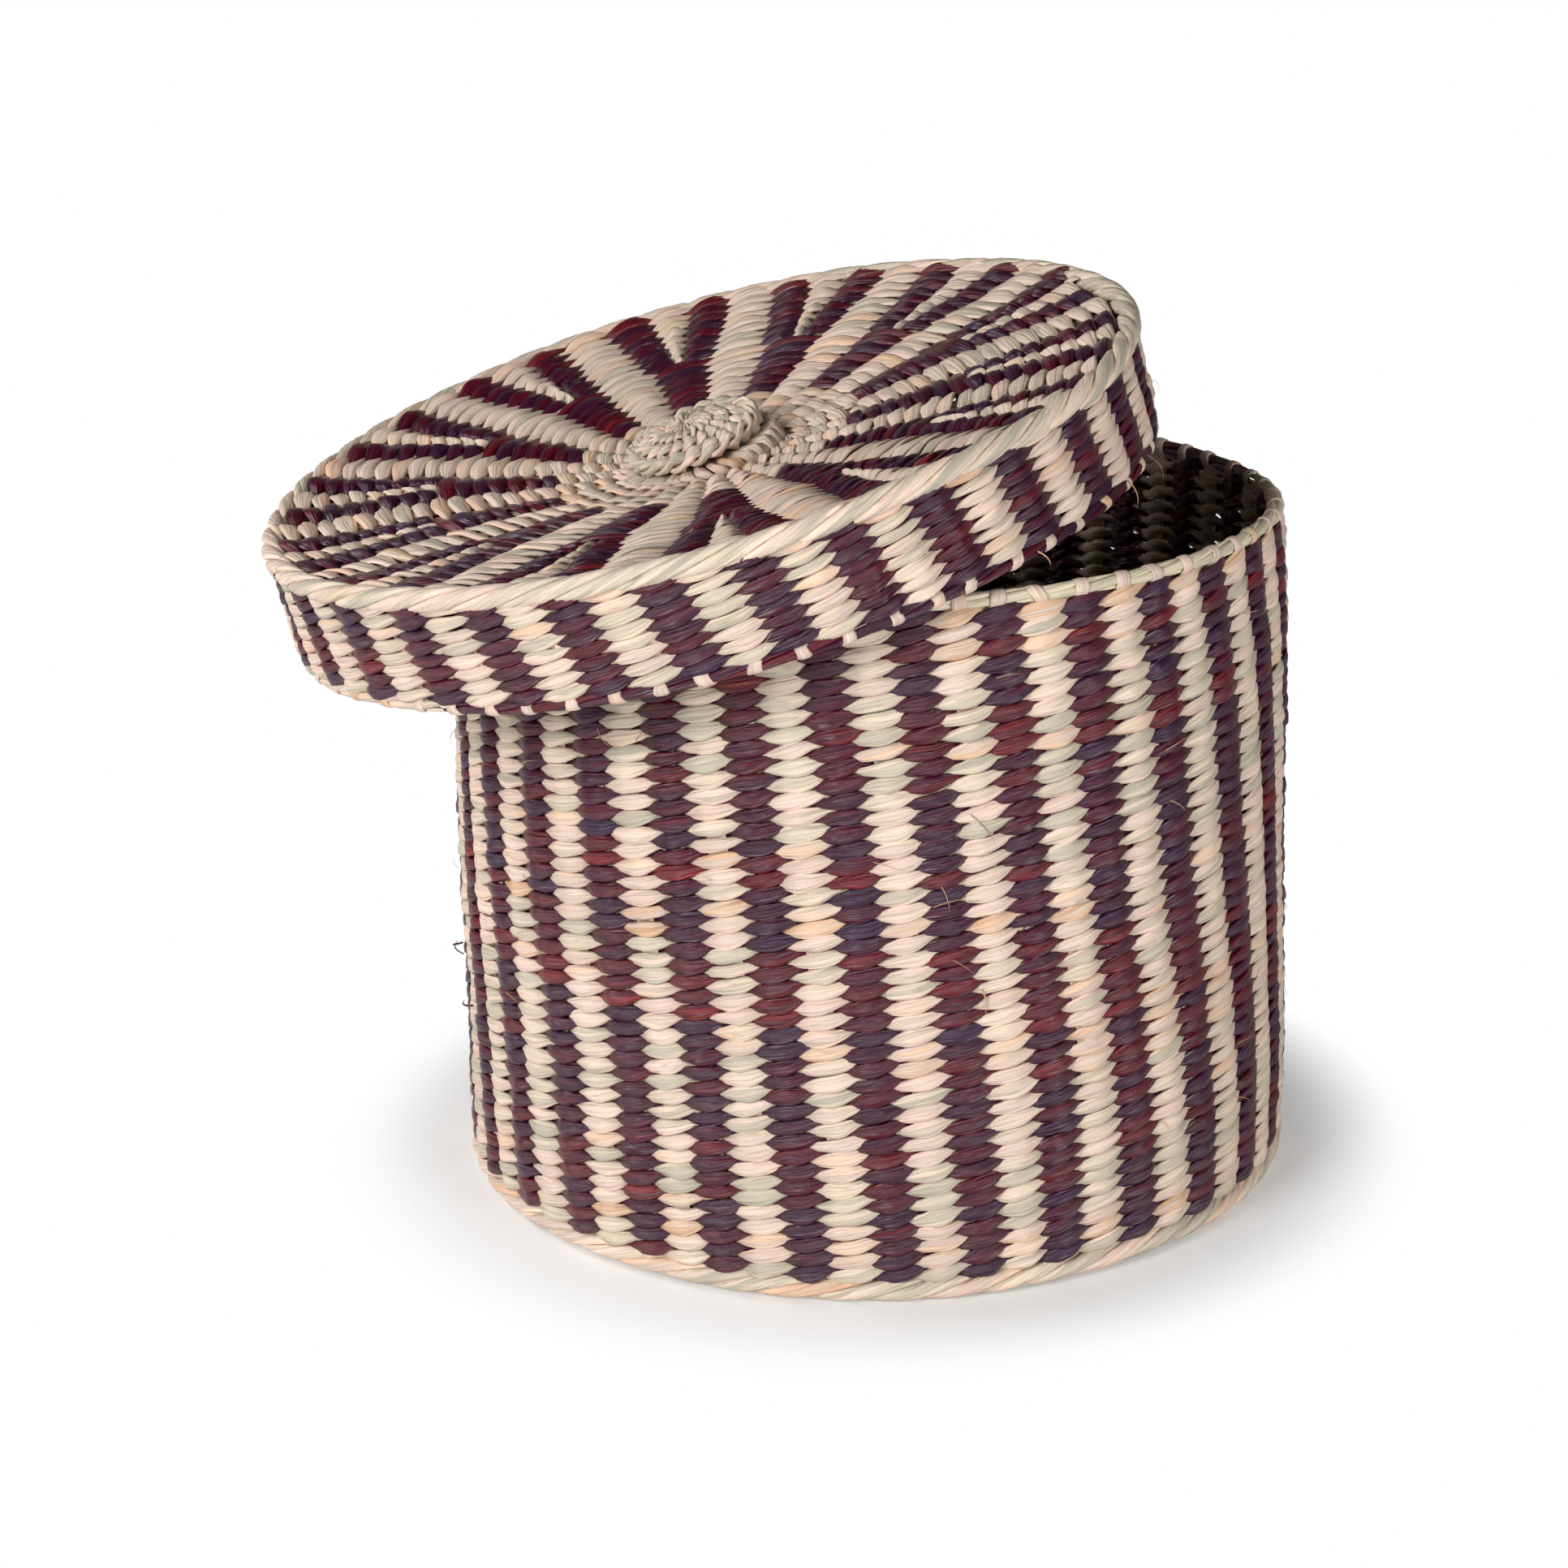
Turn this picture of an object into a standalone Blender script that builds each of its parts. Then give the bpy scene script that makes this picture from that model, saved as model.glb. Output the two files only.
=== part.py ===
"""Lidded round basket of twined plant fibre, its lid set down askew on the mouth.

Metres, +Z up, origin at the centre of the underside. Each piece of the basket is one object:
flat stakes run out from the middle of the base and up the wall, rows of two twisted strands are
twined round them, and round cords finish the foot, the mouth and both edges of the lid. The lid
is made the same way, with a knob sewn through its middle.
"""
import math

import bmesh
import bpy
import numpy as np
from mathutils import Matrix

# Clearance between touching pieces, and round the lid where it lies on the mouth
FIT_GAP = 0.0003
REST_GAP = 0.0004

# Basket body
FOOT_RADIUS = 0.1000
MOUTH_RADIUS = 0.0974
BODY_HEIGHT = 0.1604
WALL_BULGE = 0.0018
WALL_THICKNESS = 0.0048
BASE_THICKNESS = 0.0046
BASE_ROSETTE_RADIUS = 0.0358
FOOT_CORD_THICKNESS = 0.0056
MOUTH_CORD_THICKNESS = 0.0034

# Flat stakes inside the weave, the same in the body and in the lid
STAKE_COUNT = 60
STAKE_THICKNESS = 0.0010

# Lid, measured in its own frame, whose origin is in the plane of its ridge cord
RIDGE_RADIUS = 0.0998
RIDGE_CORD_THICKNESS = 0.0055
HEM_RADIUS = 0.1022
HEM_CORD_THICKNESS = 0.0032
SKIRT_SETBACK = 0.0006
LID_WALL_THICKNESS = 0.0043
LID_TOP_THICKNESS = 0.0042
LID_DEPTH = 0.0260
LID_DISH = 0.0090
LID_FUNNEL_SHARE = 0.70
LID_ROSETTE_RADIUS = 0.0358

# Knob, stem and tie at the lid's centre
KNOB_RADIUS = 0.0166
KNOB_HEIGHT = 0.0058
KNOB_HOLLOW = 0.0022
KNOB_EDGE = 0.0014
STEM_RADIUS = 0.0085
STEM_WAIST_RADIUS = 0.0065
STEM_HEIGHT = 0.0036
NECK_RADIUS = 0.0040
TIE_THICKNESS = 0.0024
TIE_WIDTH = 0.0036

# Outline of the knob's dome: the shares of its radius at which it is drawn, and its roundness
KNOB_SHARES = (0.35, 0.60, 0.80, 0.93)
KNOB_ROUNDNESS = 2.4

# How the lid was set down: its tilt, how far from the middle, and towards which side
LID_TILT = math.radians(14.3)
LID_SHIFT = 0.0415
LID_BEARING = math.radians(202.5)

# Facets
ROUND_STEPS = 64
CORD_SIDES = 8
THIN_CORD_SIDES = 6
WALL_LEVELS = 4
DISH_LEVELS = 5
SMALL_STEPS = 24

# How finely the lid is lowered onto the rim
LOWERING_STEP = 0.0010
LOWERING_HALVINGS = 14
RIM_POINTS = 241
INSIDE_POINTS = 17
HEM_POINTS = 7

# Material colours in linear RGB, with their roughness
STRAW = ((0.62, 0.47, 0.29), 0.62)
STAKE_STRAW = ((0.66, 0.52, 0.34), 0.68)
AUBERGINE = ((0.115, 0.035, 0.055), 0.45)
STRIPED = ((0.36, 0.24, 0.17), 0.55)


def clear_scene():
    """Take away whatever the file holds."""
    for thing in list(bpy.data.objects):
        bpy.data.objects.remove(thing, do_unlink=True)


def fibre(name, finish):
    """A plain fibre material of one colour and roughness."""
    colour, roughness = finish
    material = bpy.data.materials.new(name)
    material.use_nodes = True
    shader = material.node_tree.nodes["Principled BSDF"]
    shader.inputs["Base Color"].default_value = (*colour, 1.0)
    shader.inputs["Roughness"].default_value = roughness
    shader.inputs["Metallic"].default_value = 0.0
    return material


def add_part(name, mesh, material, collection, seat=None):
    """Put a mesh in the collection as a named piece, on the lid's seat if it is part of the lid."""
    piece = bpy.data.objects.new(name, mesh)
    mesh.materials.append(material)
    mesh.shade_smooth()
    mesh.set_sharp_from_angle(angle=math.radians(40))
    collection.objects.link(piece)
    if seat is not None:
        piece.parent = seat
    return piece


def profile_mesh(name, points, closed):
    """Edges through (radius, height) points in the XZ plane."""
    mesh = bpy.data.meshes.new(name)
    count = len(points)
    edges = [(i, i + 1) for i in range(count - 1)]
    if closed:
        edges.append((count - 1, 0))
    mesh.from_pydata([(radius, 0.0, height) for radius, height in points], edges, [])
    return mesh


def turned(name, points, closed, steps, collection):
    """Turn a profile right round the Z axis and return the plain mesh."""
    piece = bpy.data.objects.new(name, profile_mesh(name, points, closed))
    collection.objects.link(piece)
    screw = piece.modifiers.new("Turn", "SCREW")
    screw.axis = "Z"
    screw.angle = 2.0 * math.pi
    screw.steps = steps
    screw.render_steps = steps
    screw.use_merge_vertices = True
    screw.merge_threshold = 0.00001
    bpy.context.view_layer.update()
    shape = piece.evaluated_get(bpy.context.evaluated_depsgraph_get())
    mesh = bpy.data.meshes.new_from_object(shape)
    mesh.name = name
    bpy.data.objects.remove(piece, do_unlink=True)
    return mesh


def cord_ring(name, radius, height, thickness, sides, material, collection, seat=None):
    """A round cord laid in a ring, from a torus."""
    bpy.ops.mesh.primitive_torus_add(
        major_radius=radius,
        minor_radius=thickness / 2.0,
        major_segments=ROUND_STEPS,
        minor_segments=sides,
    )
    ring = bpy.context.object
    mesh = ring.data.copy()
    bpy.data.objects.remove(ring, do_unlink=True)
    mesh.transform(Matrix.Translation((0.0, 0.0, height)))
    return add_part(name, mesh, material, collection, seat)


def stake_fan(name, points, hub_radius, material, collection, seat=None):
    """Flat stakes that leave a common hub, cut from a turned sheet and given their thickness."""
    mesh = turned(name, points, False, 2 * STAKE_COUNT, collection)
    sheet = bmesh.new()
    sheet.from_mesh(mesh)
    step = math.pi / STAKE_COUNT
    gaps = []
    for face in sheet.faces:
        centre = face.calc_center_median()
        slot = int(math.floor((math.atan2(centre.y, centre.x) % (2.0 * math.pi)) / step))
        if math.hypot(centre.x, centre.y) > hub_radius and slot % 2:
            gaps.append(face)
    bmesh.ops.delete(sheet, geom=gaps, context="FACES")
    sheet.to_mesh(mesh)
    sheet.free()
    piece = add_part(name, mesh, material, collection, seat)
    solidify = piece.modifiers.new("Thickness", "SOLIDIFY")
    solidify.thickness = STAKE_THICKNESS
    solidify.offset = -1.0
    solidify.use_even_offset = True
    return piece


def wall_radius(height):
    """Outer radius of the body's wall at a height."""
    share = height / BODY_HEIGHT
    bulge = WALL_BULGE * 4.0 * share * (1.0 - share)
    return FOOT_RADIUS + (MOUTH_RADIUS - FOOT_RADIUS) * share + bulge


def skirt_radius(height):
    """Outer radius of the lid's skirt at a height in the lid's frame, from 0 down to -LID_DEPTH."""
    top = RIDGE_RADIUS + RIDGE_CORD_THICKNESS / 2.0 - SKIRT_SETBACK
    return top + (HEM_RADIUS - top) * -height / LID_DEPTH


def wall_levels():
    """Heights at which the wall's outline is drawn, from the mouth down."""
    return np.linspace(WALL_TOP, WALL_FOOT, WALL_LEVELS)


def dish_radii(inner):
    """Radii at which the lid's dished top is drawn, from its edge inwards."""
    return np.linspace(TOP_EDGE_RADIUS, inner, DISH_LEVELS)


TOP_EDGE_RADIUS = RIDGE_RADIUS - RIDGE_CORD_THICKNESS / 2.0 - FIT_GAP
HEM_CORD_RADIUS = HEM_RADIUS - LID_WALL_THICKNESS / 2.0
MOUTH_CORD_RADIUS = MOUTH_RADIUS - WALL_THICKNESS / 2.0
MOUTH_CORD_HEIGHT = BODY_HEIGHT - MOUTH_CORD_THICKNESS / 2.0
WALL_TOP = BODY_HEIGHT - MOUTH_CORD_THICKNESS - FIT_GAP
WALL_FOOT = FOOT_CORD_THICKNESS + FIT_GAP
SKIRT_TOP = -RIDGE_CORD_THICKNESS / 2.0 - FIT_GAP
SKIRT_FOOT = -LID_DEPTH + HEM_CORD_THICKNESS + FIT_GAP


def lid_surface(radius):
    """Height of the lid's upper face in the lid's frame: a shallow funnel down to the knob."""
    share = radius / TOP_EDGE_RADIUS
    funnel = (1.0 + math.cos(math.pi * share)) / 2.0
    return -LID_DISH * (LID_FUNNEL_SHARE * funnel + (1.0 - LID_FUNNEL_SHARE) * (1.0 - share))


def lid_inside():
    """Section of the lid that faces the basket, as (radius, height) points in the lid's frame."""
    radii = np.linspace(0.0, TOP_EDGE_RADIUS, INSIDE_POINTS)
    points = [(r, lid_surface(r) - LID_TOP_THICKNESS) for r in radii]
    points.append((skirt_radius(SKIRT_TOP) - LID_WALL_THICKNESS, SKIRT_TOP))
    points.append((HEM_RADIUS - LID_WALL_THICKNESS, SKIRT_FOOT))
    for turn in np.linspace(math.pi, 2.0 * math.pi, HEM_POINTS):
        across = HEM_CORD_THICKNESS / 2.0 * math.cos(turn)
        down = HEM_CORD_THICKNESS / 2.0 * (1.0 + math.sin(turn))
        points.append((HEM_CORD_RADIUS + across, down - LID_DEPTH))
    points.append((HEM_RADIUS, SKIRT_FOOT))
    return np.array(points)


def lid_clearance(tilt, height, section, rim_rings):
    """Least distance between the tilted lid's inner section and the rings of the basket's rim."""
    turns = np.linspace(0.0, math.pi, RIM_POINTS)
    least = math.inf
    starts = section[:-1]
    runs = section[1:] - starts
    for ring_radius, ring_height, thickness in rim_rings:
        along = ring_radius * np.cos(turns) - LID_SHIFT
        aside = ring_radius * np.sin(turns)
        up = ring_height - height
        slope = along * math.cos(tilt) - up * math.sin(tilt)
        raised = along * math.sin(tilt) + up * math.cos(tilt)
        spots = np.stack([np.hypot(slope, aside), raised], axis=1)
        offsets = spots[:, None, :] - starts[None, :, :]
        shares = (offsets * runs).sum(axis=2) / (runs * runs).sum(axis=1)
        nearest = starts + np.clip(shares, 0.0, 1.0)[:, :, None] * runs
        distances = np.linalg.norm(spots[:, None, :] - nearest, axis=2)
        least = min(least, distances.min() - thickness / 2.0)
    return least


def lid_rest_height():
    """Height of the lid's centre where the tilted and shifted lid, lowered, meets the rim."""
    section = lid_inside()
    rim_rings = (
        (MOUTH_CORD_RADIUS, MOUTH_CORD_HEIGHT, MOUTH_CORD_THICKNESS),
        (wall_radius(WALL_TOP), WALL_TOP, 0.0),
    )
    height = BODY_HEIGHT + LID_DEPTH + HEM_RADIUS * math.sin(LID_TILT) + MOUTH_CORD_THICKNESS
    while lid_clearance(LID_TILT, height - LOWERING_STEP, section, rim_rings) > REST_GAP:
        height -= LOWERING_STEP
    low = height - LOWERING_STEP
    for _ in range(LOWERING_HALVINGS):
        middle = (low + height) / 2.0
        if lid_clearance(LID_TILT, middle, section, rim_rings) > REST_GAP:
            height = middle
        else:
            low = middle
    return height


def make_base(straw, striped, collection):
    """Natural rosette at the middle of the base, and the striped disc round it."""
    rosette = [
        (0.0, BASE_THICKNESS),
        (BASE_ROSETTE_RADIUS, BASE_THICKNESS),
        (BASE_ROSETTE_RADIUS, 0.0),
        (0.0, 0.0),
    ]
    mesh = turned("base_rosette", rosette, False, SMALL_STEPS * 2, collection)
    add_part("base_rosette", mesh, straw, collection)
    outer = FOOT_RADIUS - FOOT_CORD_THICKNESS - FIT_GAP
    inner = BASE_ROSETTE_RADIUS + FIT_GAP
    disc = [(outer, BASE_THICKNESS), (outer, 0.0), (inner, 0.0), (inner, BASE_THICKNESS)]
    mesh = turned("base_weave", disc, True, ROUND_STEPS, collection)
    add_part("base_weave", mesh, striped, collection)


def make_body_stakes(material, collection):
    """Stakes of the body: out across the base, then up against the inside of the wall."""
    skin = WALL_THICKNESS - STAKE_THICKNESS
    floor = BASE_THICKNESS + FIT_GAP
    points = [(wall_radius(level) - skin, level) for level in wall_levels()]
    points.append((FOOT_RADIUS - FOOT_CORD_THICKNESS - FIT_GAP, floor))
    points.append((BASE_ROSETTE_RADIUS, floor))
    points.append((0.0, floor))
    stake_fan("body_stakes", points, BASE_ROSETTE_RADIUS, material, collection)


def make_wall(material, collection):
    """Striped wall: a slightly bulging open shell that stands on the foot cord."""
    skin = WALL_THICKNESS - STAKE_THICKNESS - FIT_GAP
    outer = [(wall_radius(level), level) for level in wall_levels()]
    inner = [(radius - skin, level) for radius, level in reversed(outer)]
    mesh = turned("wall_weave", outer + inner, True, ROUND_STEPS, collection)
    add_part("wall_weave", mesh, material, collection)


def make_lid_top(straw, striped, seat, collection):
    """Natural rosette with a hole for the knob's neck, and the dished striped disc round it."""
    skin = LID_TOP_THICKNESS - STAKE_THICKNESS - FIT_GAP
    hole = NECK_RADIUS + FIT_GAP
    upper = [(LID_ROSETTE_RADIUS, lid_surface(LID_ROSETTE_RADIUS))]
    lower = [(hole, lid_surface(hole))]
    rosette = upper + [(r, z - skin) for r, z in upper + lower] + lower
    mesh = turned("lid_rosette", rosette, True, SMALL_STEPS * 2, collection)
    add_part("lid_rosette", mesh, straw, collection, seat)
    radii = dish_radii(LID_ROSETTE_RADIUS + FIT_GAP)
    under = [(radius, lid_surface(radius) - skin) for radius in radii]
    over = [(radius, lid_surface(radius)) for radius in radii[::-1]]
    mesh = turned("lid_top_weave", under + over, True, ROUND_STEPS, collection)
    add_part("lid_top_weave", mesh, striped, collection, seat)


def make_lid_stakes(material, seat, collection):
    """Stakes of the lid: out under the top and down against the inside of the skirt."""
    skin = LID_TOP_THICKNESS - STAKE_THICKNESS
    wall = LID_WALL_THICKNESS - STAKE_THICKNESS
    hole = NECK_RADIUS + FIT_GAP
    radii = [hole, *dish_radii(LID_ROSETTE_RADIUS)[:0:-1]]
    points = [(radius, lid_surface(radius) - skin) for radius in radii]
    corner = skirt_radius(SKIRT_TOP) - wall
    points.append((corner, lid_surface(TOP_EDGE_RADIUS) - skin))
    points.append((skirt_radius(SKIRT_FOOT) - wall, SKIRT_FOOT))
    stake_fan("lid_stakes", points, LID_ROSETTE_RADIUS, material, collection, seat)


def make_skirt(material, seat, collection):
    """Striped skirt of the lid, between the ridge cord and the hem cord."""
    skin = LID_WALL_THICKNESS - STAKE_THICKNESS - FIT_GAP
    outer = [(skirt_radius(level), level) for level in (SKIRT_TOP, SKIRT_FOOT)]
    inner = [(radius - skin, level) for radius, level in reversed(outer)]
    mesh = turned("skirt_weave", outer + inner, True, ROUND_STEPS, collection)
    add_part("skirt_weave", mesh, material, collection, seat)


def make_knob(straw, seat, collection):
    """Domed knob, hollow below, on a gathered stem whose neck goes through the lid and is tied."""
    floor = lid_surface(0.0) + FIT_GAP
    under = lid_surface(0.0) - LID_TOP_THICKNESS - FIT_GAP
    stem_top = floor + STEM_HEIGHT
    stem = [
        (0.0, stem_top),
        (STEM_RADIUS, stem_top),
        (STEM_WAIST_RADIUS, floor + STEM_HEIGHT / 2.0),
        (STEM_RADIUS, floor + FIT_GAP),
        (NECK_RADIUS, floor),
        (NECK_RADIUS, under - TIE_THICKNESS),
        (0.0, under - TIE_THICKNESS),
    ]
    mesh = turned("knob_stem", stem, False, SMALL_STEPS, collection)
    add_part("knob_stem", mesh, straw, collection, seat)
    seat_height = stem_top + FIT_GAP
    edge = seat_height - KNOB_HOLLOW
    knob = [(0.0, edge + KNOB_HEIGHT)]
    for share in KNOB_SHARES:
        dome = 1.0 - share ** KNOB_ROUNDNESS
        knob.append((share * KNOB_RADIUS, edge + KNOB_EDGE + (KNOB_HEIGHT - KNOB_EDGE) * dome))
    knob.append((KNOB_RADIUS, edge + KNOB_EDGE / 2.0))
    knob.append((KNOB_RADIUS - KNOB_EDGE, edge))
    knob.append((STEM_RADIUS + FIT_GAP, seat_height))
    knob.append((0.0, seat_height))
    mesh = turned("knob_cap", knob, False, SMALL_STEPS, collection)
    add_part("knob_cap", mesh, straw, collection, seat)
    inner = NECK_RADIUS + FIT_GAP
    outer = inner + TIE_WIDTH
    tie = [(outer, under), (outer, under - TIE_THICKNESS), (inner, under - TIE_THICKNESS), (inner, under)]
    mesh = turned("knob_tie", tie, True, SMALL_STEPS, collection)
    add_part("knob_tie", mesh, straw, collection, seat)


def build():
    """Make every piece of the basket and of its lid."""
    clear_scene()
    collection = bpy.data.collections.new("lidded_basket")
    bpy.context.scene.collection.children.link(collection)
    straw = fibre("straw_strand", STRAW)
    stake_straw = fibre("stake_straw", STAKE_STRAW)
    aubergine = fibre("aubergine_strand", AUBERGINE)
    striped = fibre("striped_weave", STRIPED)

    make_base(straw, striped, collection)
    foot_ring = FOOT_RADIUS - FOOT_CORD_THICKNESS / 2.0
    cord_ring("foot_cord", foot_ring, FOOT_CORD_THICKNESS / 2.0, FOOT_CORD_THICKNESS, CORD_SIDES,
              straw, collection)
    make_body_stakes(stake_straw, collection)
    make_wall(striped, collection)
    cord_ring("mouth_cord", MOUTH_CORD_RADIUS, MOUTH_CORD_HEIGHT, MOUTH_CORD_THICKNESS,
              THIN_CORD_SIDES, straw, collection)

    height = lid_rest_height()
    seat = bpy.data.objects.new("lid_seat", None)
    collection.objects.link(seat)
    across = (-math.sin(LID_BEARING), math.cos(LID_BEARING), 0.0)
    shift = (LID_SHIFT * math.cos(LID_BEARING), LID_SHIFT * math.sin(LID_BEARING), height)
    seat.matrix_world = Matrix.Translation(shift) @ Matrix.Rotation(LID_TILT, 4, across)
    print("lid centre height", round(height, 5))

    make_lid_top(straw, striped, seat, collection)
    make_lid_stakes(stake_straw, seat, collection)
    cord_ring("ridge_cord", RIDGE_RADIUS, 0.0, RIDGE_CORD_THICKNESS, CORD_SIDES, straw, collection, seat)
    make_skirt(striped, seat, collection)
    hem_height = HEM_CORD_THICKNESS / 2.0 - LID_DEPTH
    cord_ring("hem_cord", HEM_CORD_RADIUS, hem_height, HEM_CORD_THICKNESS, THIN_CORD_SIDES,
              aubergine, collection, seat)
    make_knob(straw, seat, collection)


build()
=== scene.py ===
"""Lidded round basket twined from straw and aubergine strands, its lid set down askew.

Metres, +Z up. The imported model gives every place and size; this script dresses it strand by
strand and lights it as in the photograph.
"""
import math
import random

import bpy
import numpy as np
from mathutils import Matrix, Vector


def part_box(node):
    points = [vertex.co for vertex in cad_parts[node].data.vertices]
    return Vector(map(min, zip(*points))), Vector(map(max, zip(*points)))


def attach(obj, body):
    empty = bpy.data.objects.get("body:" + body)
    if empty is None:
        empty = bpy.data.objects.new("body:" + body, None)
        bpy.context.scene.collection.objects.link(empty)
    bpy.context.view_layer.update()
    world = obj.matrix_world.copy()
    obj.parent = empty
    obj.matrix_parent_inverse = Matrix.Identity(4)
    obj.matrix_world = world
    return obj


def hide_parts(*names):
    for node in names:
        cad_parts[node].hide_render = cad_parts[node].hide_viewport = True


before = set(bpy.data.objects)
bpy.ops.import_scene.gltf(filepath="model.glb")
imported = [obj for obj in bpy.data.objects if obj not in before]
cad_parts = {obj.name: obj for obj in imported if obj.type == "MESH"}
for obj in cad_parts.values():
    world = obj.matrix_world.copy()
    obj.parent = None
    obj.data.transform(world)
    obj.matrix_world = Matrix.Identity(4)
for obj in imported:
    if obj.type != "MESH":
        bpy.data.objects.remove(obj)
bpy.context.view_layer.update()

# Camera. The basket was taken from a little above and slightly to one side, about 0.8 m away,
# with a long lens, so its base shows as a shallow curve and its lid's top is seen at a slant.
PHOTO_SIZE = 1932.0
CAMERA_DISTANCE = 0.7866
CAMERA_ELEVATION = math.radians(24.28)
AIM_LEFT = math.radians(1.59)
AIM_UP = math.radians(6.18)
ROLL = math.radians(-1.38)
FOCAL_PIXELS = 3838.0
SENSOR = 36.0
NEAREST = 0.05
FARTHEST = 50.0

lens = bpy.data.cameras.new("photo_view")
lens.sensor_width = SENSOR
lens.lens = FOCAL_PIXELS / PHOTO_SIZE * SENSOR
lens.clip_start = NEAREST
lens.clip_end = FARTHEST
camera = bpy.data.objects.new("photo_view", lens)
bpy.context.scene.collection.objects.link(camera)
bpy.context.scene.camera = camera
camera.location = (
    0.0,
    -CAMERA_DISTANCE * math.cos(CAMERA_ELEVATION),
    CAMERA_DISTANCE * math.sin(CAMERA_ELEVATION),
)
towards = -camera.location.normalized()
right = towards.cross(Vector((0.0, 0.0, 1.0))).normalized()
up = right.cross(towards)
aim = (
    towards * math.cos(AIM_LEFT) * math.cos(AIM_UP)
    - right * math.sin(AIM_LEFT) * math.cos(AIM_UP)
    + up * math.sin(AIM_UP)
)
level = aim.cross(Vector((0.0, 0.0, 1.0))).normalized()
above = level.cross(aim)
side = level * math.cos(ROLL) + above * math.sin(ROLL)
top = above * math.cos(ROLL) - level * math.sin(ROLL)
camera.rotation_euler = Matrix((side, top, -aim)).transposed().to_euler()

# Floor and light. A white sweep with a soft lamp in front on the left, a weaker one on the right
# and one over the lid's back that doesn't reach inside. Pale light comes from the walls all round.
FLOOR_SIZE = 30.0
FLOOR_WHITE = 0.94
NEAR_FLOOR = 0.100
FAR_FLOOR = 0.135
LEAST_GLOW = 0.25
WALLS_STRENGTH = 0.36
WALLS_FADE = 2.5
KEY_POWER = 12.8
KEY_SIZE = 0.5
KEY_PLACE = (-0.80, -1.00, 0.62)
FILL_POWER = 8.3
FILL_SIZE = 0.5
FILL_PLACE = (0.80, -0.98, 0.34)
TOP_POWER = 4.8
TOP_SIZE = 0.5
TOP_PLACE = (-0.95, 0.15, 0.80)
LAMP_AIM = (0.0, 0.0, 0.08)


class Wire:
    """A socket that can stand in a formula. Arithmetic on it adds Math nodes to its tree."""

    def __init__(self, tree, socket=None):
        self.tree = tree
        self.socket = socket

    def add(self, kind, settings=None, values=None, output=0):
        """Add a node: first its settings, then the value or link of each of its sockets."""
        node = self.tree.nodes.new(kind)
        for key, value in (settings or {}).items():
            if key == "stops":
                while len(node.color_ramp.elements) < len(value):
                    node.color_ramp.elements.new(0.5)
                for element, (place, colour) in zip(node.color_ramp.elements, value):
                    element.position = place
                    element.color = (*colour, 1.0)
            else:
                setattr(node, key, value)
        for key, value in (values or {}).items():
            if isinstance(value, Wire):
                self.tree.links.new(value.socket, node.inputs[key])
            else:
                node.inputs[key].default_value = value
        return Wire(self.tree, node.outputs[output] if len(node.outputs) else None)

    def other(self, output):
        """Another output of the same node."""
        return Wire(self.tree, self.socket.node.outputs[output])

    def into(self, socket):
        """Link this value to a socket of another node."""
        self.tree.links.new(self.socket, socket)

    def math(self, operation, *values):
        """A Math node on this value and any further ones."""
        sockets = dict(enumerate((self, *values)))
        return self.add("ShaderNodeMath", {"operation": operation}, sockets)

    def __add__(self, value):
        return self.math("ADD", value)

    def __radd__(self, value):
        return self.math("ADD", value)

    def __sub__(self, value):
        return self.math("SUBTRACT", value)

    def __rsub__(self, value):
        return (self * -1.0).math("ADD", value)

    def __mul__(self, value):
        return self.math("MULTIPLY", value)

    def __rmul__(self, value):
        return self.math("MULTIPLY", value)

    def __truediv__(self, value):
        return self.math("DIVIDE", value)


def shade(name):
    """A new material: its nodes to build on, and its Principled shader's sockets."""
    material = bpy.data.materials.new(name)
    material.use_nodes = True
    shader = material.node_tree.nodes["Principled BSDF"]
    return material, Wire(material.node_tree), shader.inputs


bpy.ops.mesh.primitive_plane_add(size=FLOOR_SIZE)
floor = bpy.context.object
floor.name = "floor"
material, nodes, _ = shade("white_sweep")
place = nodes.add("ShaderNodeTexCoord", output="Object")
reach = nodes.add("ShaderNodeVectorMath", {"operation": "LENGTH"}, {0: place}, "Value")
fade = nodes.add(
    "ShaderNodeMapRange",
    {"interpolation_type": "SMOOTHSTEP"},
    {"Value": reach, "From Min": NEAR_FLOOR, "From Max": FAR_FLOOR, "To Min": LEAST_GLOW},
)
seen = nodes.add("ShaderNodeLightPath", output="Is Camera Ray")
cloth = nodes.add("ShaderNodeBsdfDiffuse", values={"Color": (FLOOR_WHITE,) * 3 + (1.0,)})
glow = nodes.add("ShaderNodeEmission", values={"Color": (1.0, 1.0, 1.0, 1.0), "Strength": 1.0})
mixed = nodes.add("ShaderNodeMixShader", values={0: fade * seen, 1: cloth, 2: glow})
mixed.into(material.node_tree.nodes["Material Output"].inputs["Surface"])
floor.data.materials.append(material)

world = bpy.data.worlds.new("studio")
world.use_nodes = True
bpy.context.scene.world = world
nodes = Wire(world.node_tree)
seen = nodes.add("ShaderNodeLightPath", output="Is Camera Ray")
sky = world.node_tree.nodes["Background"]
direction = nodes.add("ShaderNodeTexCoord", output="Generated")
height = nodes.add("ShaderNodeSeparateXYZ", values={0: direction}).other("Z")
low = (1.0 - height.math("MAXIMUM", 0.0)).math("POWER", WALLS_FADE) * WALLS_STRENGTH
low.math("MAXIMUM", seen).into(sky.inputs["Strength"])
sky.inputs["Color"].default_value = (1.0, 1.0, 1.0, 1.0)

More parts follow.
